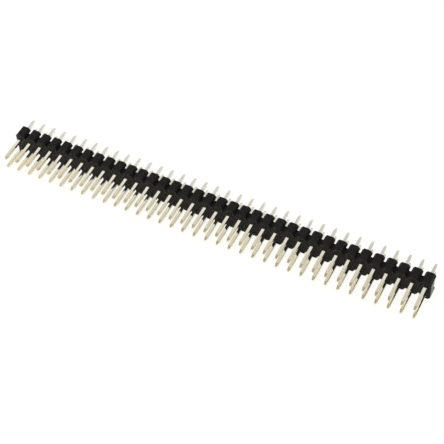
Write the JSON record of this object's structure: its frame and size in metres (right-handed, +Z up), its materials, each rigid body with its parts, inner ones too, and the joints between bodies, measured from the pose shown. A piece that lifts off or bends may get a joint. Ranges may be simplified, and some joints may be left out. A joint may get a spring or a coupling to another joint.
{
  "type": "pin header strip",
  "caption": "Double-row straight breakaway pin header: a notched black insulator with stand-off feet that holds two rows of square gold-coloured posts.",
  "frame": {"origin": "middle of the strip's bounding box, on the surface that its long side lies on", "axes": "+X along the strip, +Y along the solder tails (the mating posts point to -Y), +Z up from the long side that it lies on"},
  "size_m": [0.091, 0.0114, 0.005],
  "materials": {
    "insulator": "satin black moulded thermoplastic, glass filled",
    "posts": "bright pale gold flash on the mating posts, satin tin on the solder tails"
  },
  "bodies": {
    "root": {"insulator": "insulator", "pin_pair_01": "posts", "pin_pair_02": "posts", "pin_pair_03": "posts", "pin_pair_04": "posts", "pin_pair_05": "posts", "pin_pair_06": "posts", "pin_pair_07": "posts", "pin_pair_08": "posts", "pin_pair_09": "posts", "pin_pair_10": "posts", "pin_pair_11": "posts", "pin_pair_12": "posts", "pin_pair_13": "posts", "pin_pair_14": "posts", "pin_pair_15": "posts", "pin_pair_16": "posts", "pin_pair_17": "posts", "pin_pair_18": "posts", "pin_pair_19": "posts", "pin_pair_20": "posts", "pin_pair_21": "posts", "pin_pair_22": "posts", "pin_pair_23": "posts", "pin_pair_24": "posts", "pin_pair_25": "posts", "pin_pair_26": "posts", "pin_pair_27": "posts", "pin_pair_28": "posts", "pin_pair_29": "posts", "pin_pair_30": "posts", "pin_pair_31": "posts", "pin_pair_32": "posts", "pin_pair_33": "posts", "pin_pair_34": "posts", "pin_pair_35": "posts", "pin_pair_36": "posts"}
  },
  "joints": []
}
